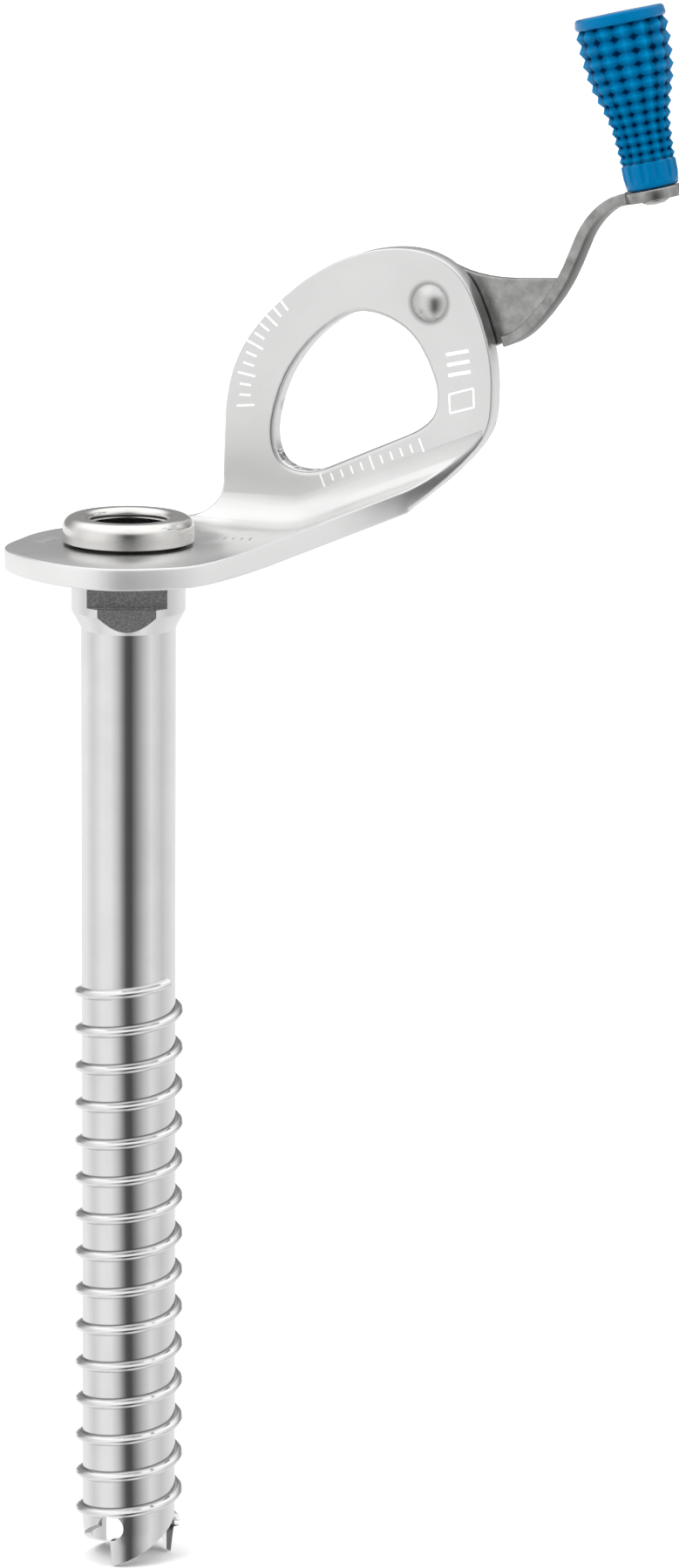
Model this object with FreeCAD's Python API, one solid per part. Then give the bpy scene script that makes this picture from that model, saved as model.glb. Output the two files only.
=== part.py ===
"""Ice screw with a fold-out crank: one STEP file per physical piece, in millimetres.

Shared frame: the origin is on the tube axis at the underside of the hanger, +Z points from
the cutting teeth towards the head, +X to the right and +Y to the back. The eye of the hanger
and the crank lie in a plane turned about Z by HEAD_YAW. They are drawn in a head frame with
axes U (along the eye), V (from its front face to its back) and Z, then turned into place.
"""

import FreeCAD, Part
import math
import os

# Tube
TUBE_R = 7.8
BORE_R = 6.4
TUBE_LENGTH = 170.0
COLLAR_R = 9.4
COLLAR_LENGTH = 7.3
CONE_END = 10.3
SPIGOT_TOP = 6.7
FLAT_DEEP = 6.75
FLAT_DEEP_END = 6.0
FLAT_SHALLOW = 8.1
FLAT_SHALLOW_END = 9.8
SPIGOT_R = 7.7

# Thread, right-handed
PITCH = 6.42
CREST_R = 9.05
RIB_HALF = 0.88
THREAD_START_Z = -164.9
THREAD_TURNS = 14.6
RUNOUT_TURNS = 0.3

# Cutting teeth
TEETH = 3
TOOTH_AZIMUTH = -112.0
TOOTH_SLOPE = 32.0
GULLET_R = 2.3
GULLET_Z = -163.1
TAPER_START_Z = -164.2
TIP_R = 7.1

# Head ring
RING_R = 10.75
RING_HEIGHT = 4.6
RING_BORE_R = 6.85
RING_OUTER_ROUND = 1.8
RING_INNER_ROUND = 1.1
RING_RELIEF = 0.35

# Hanger
PLATE = 3.6
HEAD_YAW = -23.0
EYE_FRONT = 25.0
BEND_R = 5.0
RAMP_START = 16.3
RAMP_R = 20.0
RAMP_ANGLE = 23.0
FIT_GAP = 0.02
HOLE_CHAMFER = 0.45

# Crank pivot
PIVOT_U = 42.3
PIVOT_Z = 42.5
PIVOT_PIN_R = 1.9
PIVOT_HOLE_R = 1.95
PIVOT_HEAD_R = 3.1
PIVOT_HEAD_H = 1.7
WASHER_T = 0.5
WASHER_R = 4.6
TAIL_WASHER_R = 3.9

# Crank arm
ARM_T = 1.8
ARM_FRONT = EYE_FRONT + PLATE + WASHER_T
ARM_BACK = ARM_FRONT + ARM_T
FLANGE_FRONT = 26.5
DISC_R = 4.7

# Knob
KNOB_U = 79.33
KNOB_V = 28.8
KNOB_Z = 62.9
KNOB_TILT = -13.0
KNOB_LENGTH = 28.6
KNOB_GAP = 0.1
AXLE_R = 1.5
AXLE_BORE_R = 1.55
AXLE_HEAD_R = 2.15
AXLE_HEAD_H = 0.8
KNOB_FLOOR = 17.5
COUNTERBORE_R = 3.2
RETAINER_T = 0.8
AXLE_TOP = 19.2
CAP_T = 1.4
SPIKE_COLUMNS = 13
SPIKE_ROWS = 12
SPIKE_DEPTH = 0.52
SADDLE_DEPTH = 0.3
ROW_GROWTH = 1.045
FOOT_SHARE = 0.15
RIM_SHARE = 0.935
FLUTE_R = 0.9
FLUTE_DEPTH = 0.3

# Outlines in the head frame (U, Z) seen square on to the front face of the eye.
EYE_OUTLINE = [
    (5.6, 11.5), (5.8, 17.8), (6.6, 26.6), (9.1, 33.2), (14.9, 40.4), (22.3, 46.3), (29.9, 49.9),
    (36.4, 51.1), (42.5, 50.4), (47.5, 47.4), (50.8, 41.8), (53.0, 35.0), (53.6, 27.5),
    (52.8, 22.3), (50.2, 18.1), (47.3, 14.9), (44.2, 11.9), (41.0, 9.1),
]
EYE_HOLE = [
    (31.0, 40.3), (35.5, 39.3), (39.3, 36.8), (42.3, 32.2), (43.7, 27.6), (43.0, 23.8), (40.4, 21.4),
    (34.0, 18.5), (27.0, 15.2), (20.8, 13.2), (16.2, 14.6), (14.7, 19.0), (15.4, 24.0), (17.4, 29.2),
    (20.9, 34.2), (25.4, 38.2),
]
# Plan of the hanger in the head frame (U, V), from the back of the bend round the base to the lip.
BASE_PLAN = [
    (3.5, 31.0), (0.3, 25.2), (-4.6, 19.9), (-10.8, 14.2), (-16.0, 8.6), (-17.9, 2.6), (-18.0, -5.0),
    (-17.0, -11.2), (-13.2, -15.9), (-7.1, -20.1), (0.0, -22.6), (7.0, -22.5), (13.7, -18.9),
    (19.2, -13.3), (21.7, -8.3), (24.0, -2.5), (26.8, 3.5), (31.1, 11.2), (36.6, 17.4), (42.0, 21.3),
    (47.4, 23.8), (52.5, 25.1),
]
# Lower side of the crank flange, from beside the eye up to the start of the end disc.
FLANGE_PATH = [
    (54.7, 35.8), (57.8, 37.3), (61.1, 40.5), (64.7, 45.4), (67.3, 50.7), (69.1, 54.9), (71.8, 58.3),
]
# Knob profile: (share of the length from the bottom, radius over the spikes).
KNOB_PROFILE = [
    (0.0, 4.0), (0.03, 4.3), (0.12, 4.45), (0.22, 4.6), (0.36, 4.9), (0.48, 5.7), (0.555, 6.45),
    (0.63, 7.0), (0.72, 7.35), (0.86, 7.6), (1.0, 7.4),
]

ORIGIN = FreeCAD.Vector(0, 0, 0)
AXIS_Z = FreeCAD.Vector(0, 0, 1)


def vec(x, y, z):
    return FreeCAD.Vector(x, y, z)


def polar(radius, degrees, z):
    a = math.radians(degrees)
    return vec(radius * math.cos(a), radius * math.sin(a), z)


def revolve_profile(points):
    """Solid of revolution about Z from closed (radius, z) points."""
    corners = [vec(r, 0, z) for r, z in points]
    wire = Part.makePolygon(corners + corners[:1])
    return Part.Face(wire).revolve(ORIGIN, AXIS_Z, 360)


def ring(outer, inner, z0, height):
    blank = Part.makeCylinder(outer, height, vec(0, 0, z0))
    return blank.cut(Part.makeCylinder(inner, height + 2, vec(0, 0, z0 - 1)))


def arc_points(cx, cz, radius, start, end, count=10):
    points = []
    for i in range(count + 1):
        a = math.radians(start + (end - start) * i / count)
        points.append((cx + radius * math.cos(a), cz + radius * math.sin(a)))
    return points


def spline(points):
    curve = Part.BSplineCurve()
    curve.interpolate(points)
    return curve


def closed_spline(points):
    curve = Part.BSplineCurve()
    curve.interpolate(points, PeriodicFlag=True)
    return Part.Face(Part.Wire(curve.toShape()))


def to_head(shape):
    """Turn a shape drawn in the head frame about the tube axis into the shared frame."""
    placed = shape.copy()
    placed.rotate(ORIGIN, AXIS_Z, HEAD_YAW)
    return placed


def double_d(radius, flat, z0, height):
    """Cylinder with two flats facing -Y and +Y."""
    cylinder = Part.makeCylinder(radius, height, vec(0, 0, z0))
    slab = Part.makeBox(4 * radius, 2 * flat, height, vec(-2 * radius, -flat, z0))
    return cylinder.common(slab)


def flats_cut(flat, z0, z1):
    """Two blocks that mill flats at +-flat between two heights."""
    blocks = []
    for side in (-1, 1):
        y0 = flat if side > 0 else -flat - 20
        blocks.append(Part.makeBox(60, 20, z1 - z0, vec(-30, y0, z0)))
    return blocks[0].fuse(blocks[1])


def thread_rib():
    """Half-round rib swept along a right-hand helix, sinking into the tube at its top."""
    foot_r = TUBE_R - 0.15
    section = [(TUBE_R - 0.6, RIB_HALF)]
    for degrees in range(0, 181, 20):
        a = math.radians(degrees)
        section.append((foot_r + (CREST_R - foot_r) * math.sin(a), RIB_HALF * math.cos(a)))
    section.append((TUBE_R - 0.6, -RIB_HALF))

    def sweep(helix):
        corners = [vec(r, 0, h) for r, h in section]
        wire = Part.makePolygon(corners + corners[:1])
        return Part.Wire(helix).makePipeShell([wire], True, True)

    main = sweep(Part.makeHelix(PITCH, PITCH * THREAD_TURNS, TUBE_R))
    main.translate(vec(0, 0, THREAD_START_Z))
    drop = CREST_R - TUBE_R + 0.1
    rise = PITCH * RUNOUT_TURNS
    cone_angle = -math.degrees(math.atan(drop / rise))
    runout = sweep(Part.makeHelix(PITCH, rise, TUBE_R, cone_angle))
    runout.rotate(ORIGIN, AXIS_Z, 360 * THREAD_TURNS)
    runout.translate(vec(0, 0, THREAD_START_Z + PITCH * THREAD_TURNS))
    return main, runout


def tooth_cutters():
    """For each tooth, the space under its trailing slope and the round gullet before it."""
    sector = 360.0 / TEETH
    reach = 14.0
    cutters = []
    for i in range(TEETH):
        lead = TOOTH_AZIMUTH + i * sector
        corners = [vec(0, 0, 0), polar(reach * 2, lead, 0), polar(reach * 2, lead + sector / 2, 0)]
        corners += [polar(reach * 2, lead + sector, 0)]
        wedge = Part.Face(Part.makePolygon(corners + corners[:1])).extrude(vec(0, 0, 40))
        wedge.translate(vec(0, 0, -TUBE_LENGTH - 20))
        half_chord = TIP_R * math.sin(math.radians(sector / 2))
        below = Part.makeBox(4 * reach, 4 * reach, 40, vec(-half_chord, -2 * reach, -40))
        below = below.fuse(Part.makeBox(reach, 4 * reach, 40, vec(-half_chord - reach, -2 * reach, -40)))
        below.rotate(vec(-half_chord, 0, 0), vec(0, -1, 0), TOOTH_SLOPE)
        below.translate(vec(0, 0, -TUBE_LENGTH))
        below.rotate(ORIGIN, AXIS_Z, lead + sector / 2 + 90)
        cutters.append(wedge.common(below))
        gullet = Part.makeCylinder(GULLET_R, 20, ORIGIN, vec(1, 0, 0))
        gullet.rotate(ORIGIN, AXIS_Z, lead)
        gullet.translate(vec(0, 0, GULLET_Z))
        cutters.append(gullet)
    return cutters


def make_screw_tube():
    profile = [
        (BORE_R, SPIGOT_TOP), (SPIGOT_R, SPIGOT_TOP), (SPIGOT_R, 0), (COLLAR_R, 0),
        (COLLAR_R, -COLLAR_LENGTH), (TUBE_R, -CONE_END), (TUBE_R, TAPER_START_Z),
        (TIP_R, -TUBE_LENGTH), (BORE_R, -TUBE_LENGTH),
    ]
    tube = revolve_profile(profile)
    tube = tube.cut(flats_cut(FLAT_DEEP, -FLAT_DEEP_END, SPIGOT_TOP + 1))
    tube = tube.cut(flats_cut(FLAT_SHALLOW, -FLAT_SHALLOW_END, -FLAT_DEEP_END + 0.01))
    for rib in thread_rib():
        tube = tube.fuse(rib)
    for cutter in tooth_cutters():
        tube = tube.cut(cutter)
    tube = tube.cut(Part.makeCylinder(BORE_R, TUBE_LENGTH + 40, vec(0, 0, -TUBE_LENGTH - 20)))
    return tube


def make_head_ring():
    top = PLATE + RING_HEIGHT
    seat = RING_RELIEF
    outer = arc_points(RING_R - RING_OUTER_ROUND, top - RING_OUTER_ROUND, RING_OUTER_ROUND, 0, 90)
    inner_x = RING_BORE_R + RING_INNER_ROUND
    inner = arc_points(inner_x, top - RING_INNER_ROUND, RING_INNER_ROUND, 90, 180)
    profile = [(SPIGOT_R + FIT_GAP, PLATE), (RING_R - 1.1, PLATE), (RING_R - 1.1, PLATE + seat)]
    profile += [(RING_R - 0.25, PLATE + seat), (RING_R, PLATE + seat + 0.25)]
    profile += outer + inner
    profile += [(RING_BORE_R, SPIGOT_TOP), (SPIGOT_R + FIT_GAP, SPIGOT_TOP)]
    return revolve_profile(profile)


def bend_section(u):
    """Section of the base, the bend and the foot of the eye in the (V, Z) plane at U = u."""
    outer_r = BEND_R + PLATE
    v0 = EYE_FRONT - BEND_R
    top = 16.0
    mid = math.sqrt(0.5)

    def p(v, z):
        return vec(u, v, z)

    outside = p(v0 + outer_r * mid, outer_r * (1 - mid))
    inside = p(v0 + BEND_R * mid, PLATE + BEND_R * (1 - mid))
    edges = [
        Part.makeLine(p(-26, 0), p(v0, 0)),
        Part.Arc(p(v0, 0), outside, p(v0 + outer_r, outer_r)).toShape(),
        Part.makeLine(p(v0 + outer_r, outer_r), p(v0 + outer_r, top)),
        Part.makeLine(p(v0 + outer_r, top), p(v0 + BEND_R, top)),
        Part.makeLine(p(v0 + BEND_R, top), p(v0 + BEND_R, outer_r)),
        Part.Arc(p(v0 + BEND_R, outer_r), inside, p(v0, PLATE)).toShape(),
        Part.makeLine(p(v0, PLATE), p(-26, PLATE)),
        Part.makeLine(p(-26, PLATE), p(-26, 0)),
    ]
    return Part.Face(Part.Wire(edges))


def on_eye_hole(edge):
    """Whether an edge is part of the eye's rim, on the front or the back face."""
    box = edge.BoundBox
    flat = abs(box.YMax - box.YMin) < 0.01
    faces = (EYE_FRONT, EYE_FRONT + PLATE)
    level = any(abs(box.YMin - face) < 0.01 for face in faces)
    inside = box.XMin > 14 and box.XMax < 44.5 and box.ZMin > 12.5 and box.ZMax < 41
    return flat and level and inside


def make_hanger():
    start = bend_section(RAMP_START)
    flat = start.extrude(vec(-RAMP_START - 26, 0, 0))
    centre = vec(RAMP_START, 0, PLATE + RAMP_R)
    curve = start.revolve(centre, vec(0, -1, 0), RAMP_ANGLE)
    end = bend_section(RAMP_START)
    end.rotate(centre, vec(0, -1, 0), RAMP_ANGLE)
    a = math.radians(RAMP_ANGLE)
    ramp = end.extrude(vec(50 * math.cos(a), 0, 50 * math.sin(a)))
    eye_points = [vec(u, EYE_FRONT, z) for u, z in EYE_OUTLINE[::-1]]
    low_left = vec(-0.2, EYE_FRONT, PLATE + 0.8)
    eye_curve = spline(eye_points).toShape()
    fillet_mid = vec(4.1, EYE_FRONT, PLATE + 3.0)
    fillet = Part.Arc(eye_points[-1], fillet_mid, low_left).toShape()
    below = [low_left, vec(-30, EYE_FRONT, PLATE + 0.8), vec(-30, EYE_FRONT, -3)]
    below += [vec(39.0, EYE_FRONT, -3), eye_points[0]]
    front_wire = Part.Wire([eye_curve, fillet] + Part.makePolygon(below).Edges)
    front_prism = Part.Face(front_wire).extrude(vec(0, 60, 0))
    front_prism.translate(vec(0, -50, 0))
    eye_low = [vec(5, EYE_FRONT, 12), vec(RAMP_START, EYE_FRONT, 12), vec(60, EYE_FRONT, 27)]
    eye_low += [vec(60, EYE_FRONT, 60), vec(0, EYE_FRONT, 60), vec(0, EYE_FRONT, 12)]
    eye = Part.Face(Part.makePolygon(eye_low + eye_low[:1])).extrude(vec(0, PLATE, 0))
    plan_curve = spline([vec(u, v, -10) for u, v in BASE_PLAN]).toShape()
    u_first, v_first = BASE_PLAN[0]
    u_last, v_last = BASE_PLAN[-1]
    closing = [vec(u_last, v_last, -10), vec(70, v_last, -10), vec(70, v_first, -10)]
    closing += [vec(u_first, v_first, -10)]
    plan_wire = Part.Wire([plan_curve] + Part.makePolygon(closing).Edges)
    plan_prism = Part.Face(plan_wire).extrude(vec(0, 0, 100))
    eye_plan = plan_prism.fuse(Part.makeBox(70, PLATE, 70, vec(5, EYE_FRONT, 14)))
    blank = flat.fuse([curve, ramp, eye])
    blank = blank.common(front_prism).common(eye_plan)
    hole = closed_spline([vec(u, 0, z) for u, z in EYE_HOLE]).extrude(vec(0, 60, 0))
    pivot = Part.makeCylinder(PIVOT_HOLE_R, 60, vec(PIVOT_U, 0, PIVOT_Z), vec(0, 1, 0))
    blank = blank.cut(hole).cut(pivot).removeSplitter()
    rim = [edge for edge in blank.Edges if on_eye_hole(edge)]
    blank = blank.makeChamfer(HOLE_CHAMFER, rim)
    hanger = to_head(blank)
    return hanger.cut(double_d(SPIGOT_R + FIT_GAP, FLAT_DEEP + FIT_GAP, -5, 20))


def on_pivot(shape, v):
    """Move a shape built along +Z onto the crank pivot, pointing to the back from V = v."""
    moved = shape.copy()
    moved.rotate(ORIGIN, vec(1, 0, 0), -90)
    moved.translate(vec(PIVOT_U, v, PIVOT_Z))
    return to_head(moved)


def make_pivot_rivet():
    tail_start = ARM_BACK + WASHER_T - EYE_FRONT
    dome_r = (PIVOT_HEAD_R ** 2 + PIVOT_HEAD_H ** 2) / (2 * PIVOT_HEAD_H)
    spread = math.degrees(math.asin(PIVOT_HEAD_R / dome_r))
    dome = arc_points(0, dome_r - PIVOT_HEAD_H, dome_r, -90, -90 + spread, 12)
    tail = [(2.9, tail_start), (2.9, tail_start + 0.4), (2.2, tail_start + 1.1), (0, tail_start + 1.3)]
    profile = dome[:-1] + [(PIVOT_HEAD_R, 0), (PIVOT_PIN_R, 0), (PIVOT_PIN_R, tail_start)] + tail
    return on_pivot(revolve_profile(profile), EYE_FRONT)


def flange_band():
    """Edge-on band of the crank: the lower path, offset by the sheet thickness on its upper side."""
    tilt = math.radians(-KNOB_TILT)
    along = vec(math.cos(tilt), 0, math.sin(tilt))
    up = vec(-math.sin(tilt), 0, math.cos(tilt))
    under = vec(KNOB_U, 0, KNOB_Z) - up * (KNOB_GAP + ARM_T)
    approach = under - along * (DISC_R + 1.3)
    lower_points = [vec(u, 0, z) for u, z in FLANGE_PATH] + [approach]
    curve = spline(lower_points)
    first, last = curve.FirstParameter, curve.LastParameter
    upper_points = []
    steps = 24
    for i in range(steps + 1):
        t = first + (last - first) * i / steps
        d = curve.tangent(t)[0]
        upper_points.append(curve.value(t) + vec(-d.z, 0, d.x) * ARM_T)
    upper_end = under + up * ARM_T
    edges = [curve.toShape(), Part.makeLine(lower_points[-1], under), Part.makeLine(under, upper_end)]
    edges += [Part.makeLine(upper_end, upper_points[-1]), spline(upper_points[::-1]).toShape()]
    edges += [Part.makeLine(upper_points[0], lower_points[0])]
    return Part.Face(Part.Wire(edges)), curve


def make_crank_arm():
    band, lower = flange_band()
    flange = band.extrude(vec(0, ARM_BACK - FLANGE_FRONT, 0))
    flange.translate(vec(0, FLANGE_FRONT, 0))
    first, last = lower.FirstParameter, lower.LastParameter
    rim = []
    for i in range(11):
        t = first + (last - first) * 0.50 * i / 10
        d = lower.tangent(t)[0]
        rim.append(lower.value(t) + vec(-d.z, 0, d.x) * (ARM_T / 2))
    boss_r = 6.6
    top = vec(PIVOT_U + 1.6, 0, PIVOT_Z + 6.4)
    low = vec(PIVOT_U + 0.3, 0, PIVOT_Z - boss_r)
    upper_edge = spline([rim[-1], vec(60.5, 0, 47.0), vec(54.0, 0, 46.7), top]).toShape()
    outline = [spline(rim).toShape(), upper_edge]
    boss_arc = Part.Arc(top, vec(PIVOT_U - boss_r, 0, PIVOT_Z), low).toShape()
    lower_edge = spline([low, vec(49.5, 0, 34.6), rim[0]]).toShape()
    outline += [boss_arc, lower_edge]
    root = Part.Face(Part.Wire(outline)).extrude(vec(0, ARM_T, 0))
    root.translate(vec(0, ARM_FRONT, 0))
    disc = Part.makeCylinder(DISC_R, ARM_T, vec(0, 0, -KNOB_GAP - ARM_T))
    disc.rotate(ORIGIN, vec(0, 1, 0), KNOB_TILT)
    disc.translate(vec(KNOB_U, KNOB_V, KNOB_Z))
    arm = flange.fuse([root, disc]).removeSplitter()
    hole = Part.makeCylinder(AXLE_R + FIT_GAP, 8, vec(0, 0, -5))
    hole.rotate(ORIGIN, vec(0, 1, 0), KNOB_TILT)
    hole.translate(vec(KNOB_U, KNOB_V, KNOB_Z))
    arm = arm.cut(hole)
    pivot_hole = Part.makeCylinder(PIVOT_HOLE_R, 60, vec(PIVOT_U, 0, PIVOT_Z), vec(0, 1, 0))
    return to_head(arm.cut(pivot_hole))


def on_knob(shape):
    """Move a shape built along +Z from the knob's foot onto the crank."""
    moved = shape.copy()
    moved.rotate(ORIGIN, vec(0, 1, 0), KNOB_TILT)
    moved.translate(vec(KNOB_U, KNOB_V, KNOB_Z))
    return to_head(moved)


def knob_radius(share):
    for (s0, r0), (s1, r1) in zip(KNOB_PROFILE, KNOB_PROFILE[1:]):
        if share <= s1:
            return r0 + (r1 - r0) * (share - s0) / (s1 - s0)
    return KNOB_PROFILE[-1][1]


def spike_rows():
    """Heights of the valleys between rows of spikes; each row is a little taller than the last."""
    total = sum(ROW_GROWTH ** row for row in range(SPIKE_ROWS))
    unit = (RIM_SHARE - FOOT_SHARE) * KNOB_LENGTH / total
    heights = [FOOT_SHARE * KNOB_LENGTH]
    for row in range(SPIKE_ROWS):
        heights.append(heights[-1] + unit * ROW_GROWTH ** row)
    return heights


def triangle(a, b, c):
    return Part.Face(Part.makePolygon([a, b, c, a]))


def spiked_body():
    """Solid whose side is a grid of spikes: low saddles between neighbours, deep pits at the corners."""
    heights = spike_rows()
    step = 360.0 / SPIKE_COLUMNS

    def point(row, column):
        """Vertex of the grid; whole numbers are the corners of a cell and halves its middle lines."""
        low = heights[int(row)]
        high = heights[min(int(row) + 1, SPIKE_ROWS)]
        height = low + (high - low) * (row - int(row))
        pitch = (heights[-1] - heights[-2]) if high == low else high - low
        middles = (row != int(row)) + (column != int(column))
        depth = (SPIKE_DEPTH, SADDLE_DEPTH, 0.0)[middles] * pitch
        return polar(knob_radius(height / KNOB_LENGTH) - depth, step * (column % SPIKE_COLUMNS), height)

    faces = []
    for row in range(SPIKE_ROWS):
        for column in range(SPIKE_COLUMNS):
            loop = [(0, 0), (0, 0.5), (0, 1), (0.5, 1), (1, 1), (1, 0.5), (1, 0), (0.5, 0)]
            rim = [point(row + dr, column + dc) for dr, dc in loop]
            tip = point(row + 0.5, column + 0.5)
            for a, b in zip(rim, rim[1:] + rim[:1]):
                faces.append(triangle(a, b, tip))
    for row in (0, SPIKE_ROWS):
        corners = [point(row, half / 2) for half in range(2 * SPIKE_COLUMNS)]
        faces.append(Part.Face(Part.makePolygon(corners + corners[:1])))
    shell = Part.makeShell(faces)
    shell.sewShape()
    return Part.makeSolid(shell)


def fluted_foot():
    """Smooth lower end of the grip, with a flute below each valley between the columns."""
    top = FOOT_SHARE * KNOB_LENGTH + 0.3
    side = knob_radius(0.12)
    bottom = arc_points(3.65, 0.6, 0.6, -90, 0, 4)
    profile = [(0, 0)] + bottom + [(side, 2.2), (side, top - 0.6), (side - 0.55, top), (0, top)]
    foot = revolve_profile(profile)
    for i in range(SPIKE_COLUMNS):
        centre = polar(side + FLUTE_R - FLUTE_DEPTH, 360.0 * i / SPIKE_COLUMNS, 1.4)
        flute = Part.makeCylinder(FLUTE_R, top, centre)
        foot = foot.cut(flute.fuse(Part.makeSphere(FLUTE_R, centre)))
    return foot


def knob_rim():
    """Rounded band round the top end of the grip."""
    low = RIM_SHARE * KNOB_LENGTH - 0.25
    outer = knob_radius(1.0)
    waist = outer - 0.9
    lower = arc_points(outer - 0.55, low + 0.75, 0.55, -60, 0, 4)
    upper = arc_points(outer - 0.75, KNOB_LENGTH - 0.65, 0.65, 0, 90, 6)
    return revolve_profile([(0, low), (waist, low)] + lower + upper + [(0, KNOB_LENGTH)])


def make_knob():
    """Tapered grip: fluted foot, rows of pointed spikes and a rounded rim round one stepped bore."""
    body = spiked_body().fuse([fluted_foot(), knob_rim()])
    body = body.cut(Part.makeCylinder(AXLE_BORE_R, KNOB_LENGTH + 2, vec(0, 0, -1)))
    body = body.cut(Part.makeCylinder(COUNTERBORE_R, KNOB_LENGTH, vec(0, 0, KNOB_FLOOR)))
    return on_knob(body)


def make_knob_axle():
    foot = -KNOB_GAP - ARM_T
    head = [(0, foot - AXLE_HEAD_H), (AXLE_HEAD_R * 0.7, foot - AXLE_HEAD_H * 0.8)]
    head += [(AXLE_HEAD_R, foot - 0.25), (AXLE_HEAD_R, foot)]
    pin = [(AXLE_R, foot), (AXLE_R, AXLE_TOP - 0.3), (AXLE_R - 0.3, AXLE_TOP), (0, AXLE_TOP)]
    return on_knob(revolve_profile(head + pin))


def make_axle_retainer():
    return on_knob(ring(COUNTERBORE_R - 0.3, AXLE_R + FIT_GAP, KNOB_FLOOR + 0.15, RETAINER_T))


def make_knob_end_cap():
    cap = Part.makeCylinder(COUNTERBORE_R - FIT_GAP, CAP_T, vec(0, 0, KNOB_LENGTH - CAP_T - 0.15))
    return on_knob(cap)


def main():
    os.makedirs("parts", exist_ok=True)
    pieces = {
        "screw_tube": make_screw_tube(),
        "head_ring": make_head_ring(),
        "hanger": make_hanger(),
        "pivot_rivet": make_pivot_rivet(),
        "crank_spring_washer": on_pivot(ring(WASHER_R, PIVOT_HOLE_R, 0, WASHER_T), EYE_FRONT + PLATE),
        "pivot_back_washer": on_pivot(ring(TAIL_WASHER_R, PIVOT_HOLE_R, 0, WASHER_T), ARM_BACK),
        "crank_arm": make_crank_arm(),
        "knob_axle": make_knob_axle(),
        "knob": make_knob(),
        "axle_retainer": make_axle_retainer(),
        "knob_end_cap": make_knob_end_cap(),
    }
    for name, shape in pieces.items():
        shape.exportStep("parts/" + name + ".step")
        box = shape.BoundBox
        print(name, shape.isValid(), len(shape.Solids), round(shape.Volume, 1), len(shape.Faces))
        print("   ", [round(v, 2) for v in (box.XMin, box.XMax, box.YMin, box.YMax, box.ZMin, box.ZMax)])


main()
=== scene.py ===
import math

import bmesh
import bpy
from mathutils import Matrix, Vector


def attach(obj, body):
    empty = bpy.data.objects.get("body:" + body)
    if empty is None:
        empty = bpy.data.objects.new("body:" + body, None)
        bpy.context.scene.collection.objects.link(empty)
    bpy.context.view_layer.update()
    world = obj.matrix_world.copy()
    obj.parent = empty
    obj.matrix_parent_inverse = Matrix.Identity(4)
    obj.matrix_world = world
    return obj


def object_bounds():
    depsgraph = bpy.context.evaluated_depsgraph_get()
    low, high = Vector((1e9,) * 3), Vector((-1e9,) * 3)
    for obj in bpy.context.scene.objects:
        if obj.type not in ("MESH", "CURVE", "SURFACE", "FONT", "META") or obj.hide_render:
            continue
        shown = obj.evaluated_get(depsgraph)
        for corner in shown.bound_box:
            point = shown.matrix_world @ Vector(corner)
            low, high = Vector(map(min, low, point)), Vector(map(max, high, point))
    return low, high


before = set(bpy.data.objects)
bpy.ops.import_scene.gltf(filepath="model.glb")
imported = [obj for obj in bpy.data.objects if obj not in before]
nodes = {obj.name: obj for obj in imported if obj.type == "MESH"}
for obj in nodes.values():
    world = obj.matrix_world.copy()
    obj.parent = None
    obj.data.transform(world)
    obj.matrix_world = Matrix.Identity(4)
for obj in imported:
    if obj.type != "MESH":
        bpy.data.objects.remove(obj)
cad_low, cad_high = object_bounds()

MM = 0.001
HEAD_YAW = math.radians(-23.0)
EYE_FRONT = 25.0
BASE_TOP = 3.6
# Milled flats of the tube, in metres: (least distance from the middle plane, lowest height) of each step.
UPPER_FLAT = (0.00672, -0.00599)
LOWER_FLAT = (0.00808, -0.00985)
FLAT_HALF_WIDTH = 0.00655
FLAT_MIDDLE = 0.007425
FLAT_REACH = 0.00072
# Thread rib, in metres, and the distance of its corners from its middle line, in turns.
THREAD_START = -0.1649
THREAD_PITCH = 0.00642
THREAD_LOW = -0.1640
THREAD_HIGH = -0.0715
RIB_CORNER = 0.137
# Gullets between the teeth: top height and radius of the painted shade in them, in metres.
GULLET_TOP = -0.1607
GULLET_RADIUS = 0.0079
# Middle of the pivot rivet on the eye (U, Z) and the inner and outer edge of the painted shadow round it, in
# metres.
RIVET_U = 0.0423
RIVET_Z = 0.0425
RIVET_SHADOW_INNER = 0.0031
RIVET_SHADOW_OUTER = 0.0040
# Knob: foot (U, V, Z) and length in mm, and the spikes' rows and columns as the CAD lays them out.
KNOB_FOOT = (79.33, 28.8, 62.9)
KNOB_TILT = math.radians(-13.0)
KNOB_LENGTH = 28.6
SPIKE_COLUMNS = 13
SPIKE_ROWS = 12
ROW_GROWTH = 1.045
SPIKES_START = 0.15
SPIKES_END = 0.935
PLAIN_RELIEF = 0.5


def head(u, v, z):
    """Point of the hanger's own frame (along the eye, towards its back, up), in mm, in the row frame."""
    return Matrix.Rotation(HEAD_YAW, 4, "Z") @ Vector((u * MM, v * MM, z * MM))


# ---------------------------------------------------------------- materials

def new_material(name):
    material = bpy.data.materials.new(name)
    material.use_nodes = True
    tree = material.node_tree
    tree.nodes.clear()
    output = tree.nodes.new("ShaderNodeOutputMaterial")
    shader = tree.nodes.new("ShaderNodeBsdfPrincipled")
    tree.links.new(shader.outputs["BSDF"], output.inputs["Surface"])
    return material, tree, shader


def object_coordinates(tree, scale=(1, 1, 1), rotation=(0, 0, 0)):
    coordinates = tree.nodes.new("ShaderNodeTexCoord")
    mapping = tree.nodes.new("ShaderNodeMapping")
    mapping.inputs["Scale"].default_value = scale
    mapping.inputs["Rotation"].default_value = rotation
    tree.links.new(coordinates.outputs["Object"], mapping.inputs["Vector"])
    return mapping.outputs["Vector"]


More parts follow.
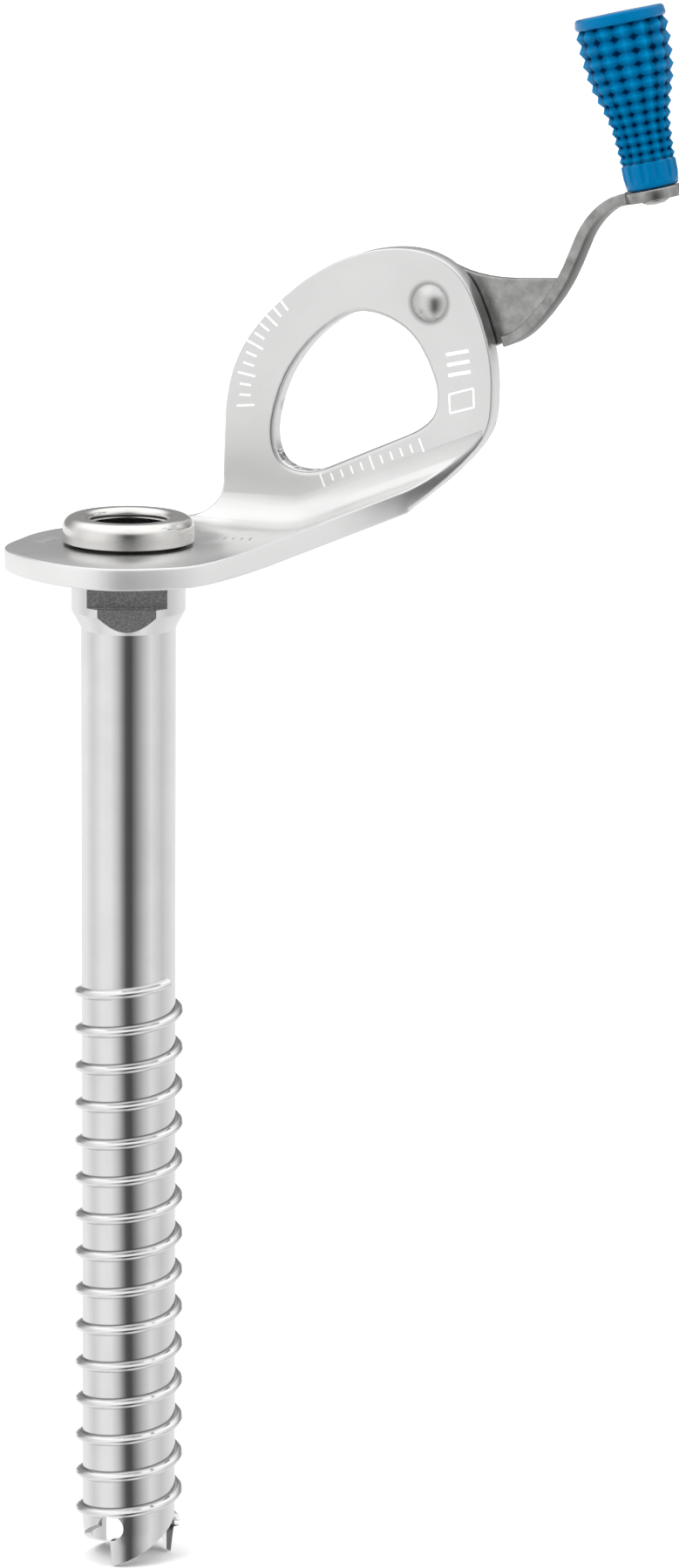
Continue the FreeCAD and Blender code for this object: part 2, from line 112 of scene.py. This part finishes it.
def noise(tree, vector, scale, detail=4.0, roughness=0.5):
    node = tree.nodes.new("ShaderNodeTexNoise")
    node.inputs["Scale"].default_value = scale
    node.inputs["Detail"].default_value = detail
    node.inputs["Roughness"].default_value = roughness
    tree.links.new(vector, node.inputs["Vector"])
    return node.outputs["Fac"]


def ramp(tree, value, stops):
    node = tree.nodes.new("ShaderNodeValToRGB")
    elements = node.color_ramp.elements
    while len(elements) < len(stops):
        elements.new(0.5)
    for element, (position, colour) in zip(elements, stops):
        element.position = position
        element.color = (*colour, 1.0)
    tree.links.new(value, node.inputs["Fac"])
    return node.outputs["Color"]


def span(tree, value, low, high):
    """Value from 0..1 mapped to low..high."""
    node = tree.nodes.new("ShaderNodeMapRange")
    node.inputs["To Min"].default_value = low
    node.inputs["To Max"].default_value = high
    tree.links.new(value, node.inputs["Value"])
    return node.outputs["Result"]


def bump(tree, shader, height, strength, distance):
    node = tree.nodes.new("ShaderNodeBump")
    node.inputs["Strength"].default_value = strength
    node.inputs["Distance"].default_value = distance
    tree.links.new(height, node.inputs["Height"])
    tree.links.new(node.outputs["Normal"], shader.inputs["Normal"])


def blend(tree, share, first, second):
    """Mix of two colours by a 0..1 share."""
    node = tree.nodes.new("ShaderNodeMix")
    node.data_type = "RGBA"
    tree.links.new(share, node.inputs["Factor"])
    for socket, value in ((node.inputs[6], first), (node.inputs[7], second)):
        if isinstance(value, tuple):
            socket.default_value = (*value, 1.0)
        else:
            tree.links.new(value, socket)
    return node.outputs[2]


def calc(tree, operation, a, b=0.0):
    node = tree.nodes.new("ShaderNodeMath")
    node.operation = operation
    for socket, value in zip(node.inputs, (a, b)):
        if isinstance(value, (int, float)):
            socket.default_value = value
        else:
            tree.links.new(value, socket)
    return node.outputs["Value"]


def times(tree, *values):
    """Product of two or more values."""
    result = values[0]
    for value in values[1:]:
        result = calc(tree, "MULTIPLY", result, value)
    return result


def invert(tree, value):
    return calc(tree, "SUBTRACT", 1.0, value)


def above(tree, value, limit):
    return calc(tree, "GREATER_THAN", value, limit)


def below(tree, value, limit):
    return calc(tree, "LESS_THAN", value, limit)


def distance(tree, value, centre):
    return calc(tree, "ABSOLUTE", calc(tree, "SUBTRACT", value, centre))


def grey(level):
    return (level, level, level)


def smooth(tree, value, low, high):
    """0 below low, 1 above high, eased between."""
    node = tree.nodes.new("ShaderNodeMapRange")
    node.interpolation_type = "SMOOTHSTEP"
    node.inputs["From Min"].default_value = low
    node.inputs["From Max"].default_value = high
    tree.links.new(value, node.inputs["Value"])
    return node.outputs["Result"]


def axes(tree, vector):
    node = tree.nodes.new("ShaderNodeSeparateXYZ")
    tree.links.new(vector, node.inputs["Vector"])
    return node.outputs["X"], node.outputs["Y"], node.outputs["Z"]


def object_normal(tree):
    coordinates = tree.nodes.new("ShaderNodeTexCoord")
    return axes(tree, coordinates.outputs["Normal"])


def metal(name, dark, light, rough, grain_scale, strength=0.15):
    """Metal with broad patches of tone, a fine grain, and roughness that follows the grain."""
    material, tree, shader = new_material(name)
    shader.inputs["Metallic"].default_value = 1.0
    patches = noise(tree, object_coordinates(tree), 120.0, 5.0)
    colour = ramp(tree, patches, [(0.25, dark), (0.75, light)])
    tree.links.new(colour, shader.inputs["Base Color"])
    fine = noise(tree, object_coordinates(tree), grain_scale, 3.0)
    tree.links.new(span(tree, fine, rough[0], rough[1]), shader.inputs["Roughness"])
    bump(tree, shader, fine, strength, 0.00001)
    return material


def paint(node, material):
    obj = nodes[node]
    obj.data.materials.clear()
    obj.data.materials.append(material)


def flats_mask(tree, x, y, z):
    """1 on the milled flats, which are cut in two steps on the front and the back of the tube."""
    depth = calc(tree, "ABSOLUTE", y)
    steps = []
    for least, lowest in (UPPER_FLAT, LOWER_FLAT):
        steps.append(times(tree, above(tree, depth, least), above(tree, z, lowest)))
    narrow = below(tree, calc(tree, "ABSOLUTE", x), FLAT_HALF_WIDTH)
    near = below(tree, distance(tree, depth, FLAT_MIDDLE), FLAT_REACH)
    return times(tree, calc(tree, "MAXIMUM", *steps), narrow, near)


def rib_corner_shade_mask(tree, x, y, z):
    """1 along the corners on both sides of the thread rib, which climbs THREAD_PITCH per turn, where shade is
    painted.
    """
    turn = times(tree, calc(tree, "ARCTAN2", y, x), 0.5 / math.pi)
    climb = calc(tree, "DIVIDE", calc(tree, "SUBTRACT", z, THREAD_START), THREAD_PITCH)
    phase = calc(tree, "SUBTRACT", climb, turn)
    off = distance(tree, calc(tree, "FRACT", calc(tree, "ADD", phase, 0.5)), 0.5)
    corner = invert(tree, smooth(tree, distance(tree, off, RIB_CORNER), 0.008, 0.030))
    return times(tree, corner, below(tree, z, THREAD_HIGH), above(tree, z, THREAD_LOW))


def gullet_shade_mask(tree, x, y, z):
    """1 on the cut walls of the gullets between the teeth, which don't face outwards, where shade is painted.
    """
    nx, ny = object_normal(tree)[:2]
    radius = calc(tree, "SQRT", calc(tree, "ADD", times(tree, x, x), times(tree, y, y)))
    outward = calc(tree, "ADD", times(tree, nx, x), times(tree, ny, y))
    outward = calc(tree, "ABSOLUTE", calc(tree, "DIVIDE", outward, radius))
    low = times(tree, below(tree, z, GULLET_TOP), smooth(tree, z, -0.1668, -0.1655))
    return times(tree, below(tree, outward, 0.75), below(tree, radius, GULLET_RADIUS), low)


def tube_material():
    """Polished turned tube with rough milled flats, and painted shade along the rib corners and in the
    gullets.
    """
    material, tree, shader = new_material("tube_steel")
    shader.inputs["Metallic"].default_value = 1.0
    x, y, z = axes(tree, object_coordinates(tree))
    turned = noise(tree, object_coordinates(tree, (0.2, 0.2, 4.0)), 700.0, 3.0)
    patches = noise(tree, object_coordinates(tree), 160.0, 4.0)
    polished = ramp(tree, patches, [(0.25, grey(0.74)), (0.75, grey(0.80))])
    mill = noise(tree, object_coordinates(tree), 3600.0, 4.0, 0.7)
    milled = ramp(tree, mill, [(0.35, grey(0.24)), (0.65, grey(0.54))])
    flats = flats_mask(tree, x, y, z)
    tone = blend(tree, flats, polished, milled)
    # Painted shade along the corners of the thread rib.
    tone = blend(tree, times(tree, rib_corner_shade_mask(tree, x, y, z), 0.62), tone, grey(0.20))
    # Painted shade on the inner walls of the gullets.
    tone = blend(tree, times(tree, gullet_shade_mask(tree, x, y, z), 0.9), tone, grey(0.06))
    tree.links.new(tone, shader.inputs["Base Color"])
    roughness = calc(tree, "ADD", span(tree, turned, 0.07, 0.13), times(tree, flats, 0.38))
    tree.links.new(roughness, shader.inputs["Roughness"])
    height = calc(tree, "ADD", times(tree, turned, 0.12), times(tree, mill, flats, 6.0))
    bump(tree, shader, height, 0.35, 0.00002)
    return material


def hanger_material():
    """Satin sheet steel: fine grain, a rougher streaked rim on the base painted paler as a highlight, and a
    painted shadow round the rivet.
    """
    material, tree, shader = new_material("hanger_steel")
    shader.inputs["Metallic"].default_value = 1.0
    z = axes(tree, object_coordinates(tree))[2]
    u, w = axes(tree, object_coordinates(tree, rotation=(0, 0, -HEAD_YAW)))[::2]
    patches = noise(tree, object_coordinates(tree), 90.0, 5.0)
    tone = ramp(tree, patches, [(0.25, (0.76, 0.76, 0.755)), (0.75, (0.83, 0.83, 0.825))])
    square_u = calc(tree, "POWER", calc(tree, "SUBTRACT", u, RIVET_U), 2.0)
    square_z = calc(tree, "POWER", calc(tree, "SUBTRACT", w, RIVET_Z), 2.0)
    from_rivet = calc(tree, "SQRT", calc(tree, "ADD", square_u, square_z))
    # Painted shadow in a ring round the rivet head.
    rivet_shadow = invert(tree, smooth(tree, from_rivet, RIVET_SHADOW_INNER, RIVET_SHADOW_OUTER))
    tone = blend(tree, times(tree, rivet_shadow, 0.75), tone, grey(0.30))
    grain = noise(tree, object_coordinates(tree), 5200.0, 3.0)
    streaks = noise(tree, object_coordinates(tree, (1, 1, 0.04)), 1500.0, 3.0)
    level = calc(tree, "ABSOLUTE", object_normal(tree)[2])
    low = invert(tree, smooth(tree, z, 0.007, 0.012))
    # The base's side faces are rougher and streaked, and their paler colour is a painted highlight.
    rough_rim_and_highlight = times(tree, low, invert(tree, smooth(tree, level, 0.25, 0.6)))
    tree.links.new(blend(tree, rough_rim_and_highlight, tone, (0.97, 0.97, 0.965)), shader.inputs["Base Color"])
    satin = span(tree, grain, 0.26, 0.36)
    tree.links.new(calc(tree, "ADD", satin, times(tree, rough_rim_and_highlight, 0.18)), shader.inputs["Roughness"])
    height = calc(tree, "ADD", times(tree, grain, 0.35), times(tree, streaks, low, 1.6))
    bump(tree, shader, height, 0.35, 0.00002)
    return material


def ring_material():
    """Bright turned ring whose undercut, next to the hanger, is painted dark as the shadow in the gap."""
    material, tree, shader = new_material("ring_steel")
    shader.inputs["Metallic"].default_value = 1.0
    z = axes(tree, object_coordinates(tree))[2]
    patches = noise(tree, object_coordinates(tree), 200.0, 4.0)
    tone = ramp(tree, patches, [(0.25, (0.76, 0.75, 0.73)), (0.75, (0.83, 0.82, 0.80))])
    # Painted shadow in the gap under the ring, next to the hanger.
    gap_shadow = invert(tree, smooth(tree, z, 0.00395, 0.0042))
    tree.links.new(blend(tree, gap_shadow, tone, grey(0.03)), shader.inputs["Base Color"])
    turned = noise(tree, object_coordinates(tree, (0.2, 0.2, 4.0)), 900.0, 3.0)
    tree.links.new(span(tree, turned, 0.12, 0.20), shader.inputs["Roughness"])
    bump(tree, shader, turned, 0.05, 0.00001)
    return material


def arm_material():
    """Tumbled steel with a mottled skin; the flange's underside, facing down and outwards, is painted much
    darker as shade.
    """
    material, tree, shader = new_material("arm_steel")
    shader.inputs["Metallic"].default_value = 1.0
    patches = noise(tree, object_coordinates(tree), 420.0, 5.0, 0.6)
    tone = ramp(tree, patches, [(0.28, (0.25, 0.25, 0.245)), (0.72, (0.48, 0.475, 0.47))])
    nx, nz = object_normal(tree)[::2]
    # Painted shade on the faces that point down and outwards.
    underside_shade = times(tree, smooth(tree, times(tree, nz, -1.0), 0.12, 0.35), smooth(tree, nx, 0.30, 0.55))
    tone = blend(tree, times(tree, underside_shade, 0.85), tone, (0.035, 0.034, 0.033))
    tree.links.new(tone, shader.inputs["Base Color"])
    fine = noise(tree, object_coordinates(tree), 2600.0, 3.0)
    tree.links.new(span(tree, fine, 0.22, 0.36), shader.inputs["Roughness"])
    bump(tree, shader, fine, 0.35, 0.00003)
    return material


tube_steel = tube_material()
hanger_steel = hanger_material()
ring_steel = ring_material()
rivet_steel = metal("rivet_steel", (0.60, 0.60, 0.59), (0.72, 0.72, 0.71), (0.24, 0.32), 2200.0, strength=0.1)
washer_steel = metal("washer_steel", grey(0.5), grey(0.6), (0.25, 0.35), 2500.0)
arm_steel = arm_material()
axle_steel = metal("axle_steel", (0.36, 0.34, 0.32), (0.50, 0.48, 0.46), (0.2, 0.3), 2500.0)


def from_middle(tree, value):
    """Distance from the middle of each whole step of the value: 0 in the middle, 1 at both ends."""
    part = calc(tree, "FRACT", value)
    return distance(tree, times(tree, part, 2.0), 1.0)


def spike_relief(tree):
    """Height on the grip's spikes: 1 on a point, 0.5 on a saddle, 0 in a pit, PLAIN_RELIEF off the spikes."""
    place = Matrix.Rotation(HEAD_YAW, 4, "Z") @ Matrix.Translation(Vector(KNOB_FOOT) * MM)
    to_knob = (place @ Matrix.Rotation(KNOB_TILT, 4, "Y")).inverted()
    coordinates = tree.nodes.new("ShaderNodeTexCoord")
    mapping = tree.nodes.new("ShaderNodeMapping")
    mapping.inputs["Location"].default_value = to_knob.translation
    mapping.inputs["Rotation"].default_value = to_knob.to_euler("XYZ")
    tree.links.new(coordinates.outputs["Object"], mapping.inputs["Vector"])
    x, y, z = axes(tree, mapping.outputs["Vector"])
    column = times(tree, calc(tree, "ARCTAN2", y, x), SPIKE_COLUMNS / (2 * math.pi))
    first = SPIKES_START * KNOB_LENGTH * MM
    length = (SPIKES_END - SPIKES_START) * KNOB_LENGTH * MM
    share = calc(tree, "DIVIDE", calc(tree, "SUBTRACT", z, first), length)
    growth = calc(tree, "ADD", times(tree, share, ROW_GROWTH ** SPIKE_ROWS - 1), 1.0)
    row = calc(tree, "LOGARITHM", growth, ROW_GROWTH)
    away = calc(tree, "ADD", from_middle(tree, column), from_middle(tree, row))
    relief = calc(tree, "SUBTRACT", 1.0 - PLAIN_RELIEF, times(tree, away, 0.5))
    spiked = times(tree, above(tree, share, 0.0), below(tree, share, 1.0))
    return calc(tree, "ADD", times(tree, relief, spiked), PLAIN_RELIEF)


def knob_plastic_material():
    """Blue plastic with painted shade dark in the pits between four spikes and a painted highlight lightest
    on their points.
    """
    material, tree, shader = new_material("knob_plastic")
    relief = spike_relief(tree)
    broad = noise(tree, object_coordinates(tree), 700.0, 4.0)
    # Painted shade in the pits and a painted highlight on the points, set by the spikes' relief.
    share = calc(tree, "ADD", relief, times(tree, calc(tree, "SUBTRACT", broad, 0.5), 0.25))
    stops = [
        (0.0, (0.0, 0.010, 0.036)), (0.22, (0.0, 0.024, 0.080)), (0.32, (0.0, 0.100, 0.245)),
        (0.55, (0.0, 0.125, 0.295)), (0.95, (0.0, 0.205, 0.425)),
    ]
    tree.links.new(ramp(tree, share, stops), shader.inputs["Base Color"])
    fine = noise(tree, object_coordinates(tree), 5200.0, 3.0)
    tree.links.new(span(tree, fine, 0.14, 0.22), shader.inputs["Roughness"])
    bump(tree, shader, calc(tree, "ADD", relief, times(tree, fine, 0.02)), 1.0, 0.0010)
    shader.inputs["Specular IOR Level"].default_value = 0.5
    shader.inputs["Specular Tint"].default_value = (0.05, 0.5, 0.95, 1.0)
    return material


knob_plastic = knob_plastic_material()

paint("screw_tube", tube_steel)
paint("head_ring", ring_steel)
paint("hanger", hanger_steel)
paint("pivot_rivet", rivet_steel)
paint("crank_spring_washer", washer_steel)
paint("pivot_back_washer", washer_steel)
paint("crank_arm", arm_steel)
paint("knob_axle", axle_steel)
paint("axle_retainer", axle_steel)
paint("knob", knob_plastic)
paint("knob_end_cap", knob_plastic)

# ---------------------------------------------------------------- rounded edges

def round_edges(node, width, limit):
    """Merge the flat facets of a sheet piece, then round its sharp edges."""
    obj = nodes[node]
    weld = obj.modifiers.new("weld", "WELD")
    weld.merge_threshold = 0.000001
    flat = obj.modifiers.new("flat", "DECIMATE")
    flat.decimate_type = "DISSOLVE"
    flat.angle_limit = math.radians(3.0)
    edge = obj.modifiers.new("edge", "BEVEL")
    edge.limit_method = "ANGLE"
    edge.angle_limit = math.radians(limit)
    edge.width = width * MM
    edge.segments = 3
    edge.use_clamp_overlap = False


round_edges("hanger", 0.35, 40)
round_edges("crank_arm", 0.25, 40)

# ---------------------------------------------------------------- etched marks on the hanger

MARK_DEPTH = 0.03


def add_bar(mesh, start, end, width, v_front):
    """Flat bar laid on the eye's front face, from start to end (U, Z), in mm."""
    u0, z0 = start
    u1, z1 = end
    length = math.hypot(u1 - u0, z1 - z0)
    side_u, side_z = -(z1 - z0) / length * width / 2, (u1 - u0) / length * width / 2
    corners = [(u0 + side_u, z0 + side_z), (u0 - side_u, z0 - side_z),
               (u1 - side_u, z1 - side_z), (u1 + side_u, z1 + side_z)]
    front = [mesh.verts.new(head(u, v_front - MARK_DEPTH, z)) for u, z in corners]
    back = [mesh.verts.new(head(u, v_front + MARK_DEPTH, z)) for u, z in corners]
    mesh.faces.new(front[::-1])
    mesh.faces.new(back)
    for i in range(4):
        j = (i + 1) % 4
        mesh.faces.new((front[i], front[j], back[j], back[i]))


def add_tick(mesh, u, v, angle, length, width):
    """Flat bar laid on the top of the base, centred on (U, V), in mm."""
    along = (math.cos(angle) * length / 2, math.sin(angle) * length / 2)
    side = (-math.sin(angle) * width / 2, math.cos(angle) * width / 2)
    corners = []
    for a, b in ((1, 1), (-1, 1), (-1, -1), (1, -1)):
        corners.append((u + a * along[0] + b * side[0], v + a * along[1] + b * side[1]))
    top = [mesh.verts.new(head(a, b, BASE_TOP + MARK_DEPTH)) for a, b in corners]
    bottom = [mesh.verts.new(head(a, b, BASE_TOP - MARK_DEPTH)) for a, b in corners]
    mesh.faces.new(top)
    mesh.faces.new(bottom[::-1])
    for i in range(4):
        j = (i + 1) % 4
        mesh.faces.new((top[j], top[i], bottom[i], bottom[j]))


def finish_marks(name, mesh, dark, light):
    """Turn the gathered bars into one piece on the hanger, with a speckled finish: etched on the eye, painted
    shade on the stamped ticks.
    """
    data = bpy.data.meshes.new(name)
    mesh.to_mesh(data)
    mesh.free()
    piece = bpy.data.objects.new(name, data)
    bpy.context.scene.collection.objects.link(piece)
    material, tree, shader = new_material(name)
    speckle = noise(tree, object_coordinates(tree), 6000.0, 4.0)
    tree.links.new(ramp(tree, speckle, [(0.3, dark), (0.7, light)]), shader.inputs["Base Color"])
    tree.links.new(span(tree, speckle, 0.55, 0.75), shader.inputs["Roughness"])
    bump(tree, shader, speckle, 0.3, 0.00002)
    data.materials.append(material)
    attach(piece, "screw")


def etched_marks():
    mesh = bmesh.new()
    # A tapering row of graduation ticks that follows the left limb of the eye.
    for i in range(12):
        share = i / 11
        angle = math.radians(186 - 56 * share)
        centre_u = 29.2 + 19.6 * math.cos(angle)
        centre_z = 25.5 + 19.6 * math.sin(angle)
        out_u, out_z = math.cos(angle), math.sin(angle)
        half = 1.6 if i % 3 == 0 else 1.0
        add_bar(mesh, (centre_u - out_u * half, centre_z - out_z * half),
                (centre_u + out_u * half, centre_z + out_z * half), 0.35, EYE_FRONT)
    # A plain ruled line with cross ticks under the lower side of the eye.
    for i in range(11):
        share = i / 10
        u = 23.6 + 17.6 * share
        z = 11.9 + 7.1 * share
        tall = 1.1 if i % 5 == 0 else 0.65
        add_bar(mesh, (u + 0.4 * tall, z - tall), (u - 0.4 * tall, z + tall), 0.3, EYE_FRONT)
    # Three short bars and a small plain frame on the right limb.
    for i in range(3):
        z = 34.2 - 1.7 * i
        add_bar(mesh, (45.4 + 0.2 * i, z), (49.3 + 0.2 * i, z + 0.9), 0.55, EYE_FRONT)
    corners = [(46.2, 24.6), (50.4, 25.9), (50.2, 29.0), (46.0, 27.7)]
    for i in range(4):
        add_bar(mesh, corners[i], corners[(i + 1) % 4], 0.3, EYE_FRONT)
    finish_marks("etched_marks", mesh, (0.84, 0.84, 0.83), (0.95, 0.95, 0.94))


def stamped_ticks():
    mesh = bmesh.new()
    # Two small groups of plain stamped ticks on the top of the base, coloured dark as painted shade in the
    # stamped impressions.
    for u0, v0, turn in ((-13.6, -5.0, 80), (12.4, 10.8, 14)):
        for i in range(4):
            a = math.radians(turn)
            u, v = u0 + 1.4 * i * math.cos(a), v0 + 1.4 * i * math.sin(a)
            add_tick(mesh, u, v, a + math.radians(90), 2.6 if i % 3 == 0 else 1.8, 0.4)
    finish_marks("stamped_ticks", mesh, (0.22, 0.22, 0.22), (0.42, 0.42, 0.42))


etched_marks()
stamped_ticks()

# ---------------------------------------------------------------- floor, light, camera

def floor():
    half = 12.0
    data = bpy.data.meshes.new("floor")
    z = cad_low.z - 0.0002
    corners = [(-half, -half, z), (half, -half, z), (half, half, z), (-half, half, z)]
    data.from_pydata(corners, [], [(0, 1, 2, 3)])
    piece = bpy.data.objects.new("floor", data)
    bpy.context.scene.collection.objects.link(piece)
    material, tree, shader = new_material("floor_pale")
    tone = noise(tree, object_coordinates(tree), 3.0, 3.0)
    pale = ramp(tree, tone, [(0.3, grey(0.93)), (0.7, grey(0.95))])
    tree.links.new(pale, shader.inputs["Base Color"])
    shader.inputs["Roughness"].default_value = 0.9
    shader.inputs["Specular IOR Level"].default_value = 0.0
    data.materials.append(material)
    piece.visible_glossy = False


floor()


# Brightness of the studio wall round the object: (degrees from the viewer's side, level).
WALL = [
    (-180, 0.94), (-125, 1.0), (-95, 0.80), (-65, 0.99), (-42, 0.96), (-24, 0.66), (-13, 0.32), (-4, 0.10),
    (8, 0.08), (20, 0.28), (38, 0.60), (58, 0.90), (90, 0.70), (130, 0.90), (180, 0.94),
]


def studio_world():
    """White studio with one soft dark gap in front of the object and a greyer wall low behind it."""
    world = bpy.data.worlds.new("studio")
    bpy.context.scene.world = world
    world.use_nodes = True
    tree = world.node_tree
    tree.nodes.clear()
    output = tree.nodes.new("ShaderNodeOutputWorld")
    background = tree.nodes.new("ShaderNodeBackground")
    tree.links.new(background.outputs["Background"], output.inputs["Surface"])
    coordinates = tree.nodes.new("ShaderNodeTexCoord")
    x, y, z = axes(tree, coordinates.outputs["Generated"])
    azimuth = calc(tree, "ARCTAN2", x, times(tree, y, -1.0))
    share = calc(tree, "ADD", times(tree, azimuth, 0.5 / math.pi), 0.5)
    wall = ramp(tree, share, [((degrees + 180) / 360, grey(v)) for degrees, v in WALL])
    # The gap fades towards the floor and, faster, towards the ceiling.
    down = invert(tree, smooth(tree, z, -0.99, -0.60))
    up = smooth(tree, z, 0.15, 0.75)
    open_share = calc(tree, "ADD", times(tree, down, 0.6), times(tree, up, 0.85))
    level = calc(tree, "ADD", wall, times(tree, invert(tree, wall), open_share))
    # Greyer band low on the wall behind the object.
    behind = times(tree, smooth(tree, y, 0.2, 0.8), smooth(tree, z, -0.06, 0.08))
    behind = times(tree, behind, invert(tree, smooth(tree, z, 0.35, 0.75)))
    level = times(tree, level, invert(tree, times(tree, behind, 0.66)))
    ceiling = calc(tree, "ADD", 1.0, times(tree, smooth(tree, z, 0.35, 0.8), 0.30))
    level = times(tree, level, ceiling)
    tree.links.new(level, background.inputs["Strength"])
    background.inputs["Color"].default_value = (1.0, 1.0, 1.0, 1.0)


studio_world()


def softbox(name, place, aim, size, power):
    data = bpy.data.lights.new(name, "AREA")
    data.shape = "RECTANGLE"
    data.size, data.size_y = size
    data.energy = power
    lamp = bpy.data.objects.new(name, data)
    bpy.context.scene.collection.objects.link(lamp)
    lamp.visible_glossy = False
    lamp.location = place
    lamp.rotation_mode = "QUATERNION"
    lamp.rotation_quaternion = (Vector(aim) - Vector(place)).to_track_quat("-Z", "Y")


softbox("key", (-0.9, -0.7, 1.1), (0.03, 0.0, 0.0), (0.8, 0.8), 12.0)
softbox("fill", (1.0, -0.5, 0.7), (0.03, 0.0, 0.0), (0.6, 0.9), 3.0)


def overhead():
    """Wide soft light from above that keeps the floor evenly pale."""
    data = bpy.data.lights.new("overhead", "SUN")
    data.energy = 0.8
    data.angle = math.radians(80)
    lamp = bpy.data.objects.new("overhead", data)
    bpy.context.scene.collection.objects.link(lamp)
    lamp.visible_glossy = False
    lamp.location = (0.0, 0.0, 1.5)


overhead()


def camera():
    """Long lens looking along +Y and slightly down, aimed at the middle of the frame."""
    pitch = math.radians(12.5)
    roll = math.radians(0.42)
    aim = Vector((0.0347, 0.0, -0.0364))
    distance = 1.0037
    data = bpy.data.cameras.new("camera")
    data.sensor_width = 36.0
    data.lens = 140.0
    data.clip_start = 0.05
    data.clip_end = 60.0
    piece = bpy.data.objects.new("camera", data)
    bpy.context.scene.collection.objects.link(piece)
    forward = Vector((0.0, math.cos(pitch), -math.sin(pitch)))
    turn = Matrix.Rotation(math.pi / 2 - pitch, 4, "X") @ Matrix.Rotation(roll, 4, "Z")
    piece.matrix_world = Matrix.Translation(aim - forward * distance) @ turn
    bpy.context.scene.camera = piece


camera()
bpy.context.scene.view_settings.view_transform = "Standard"
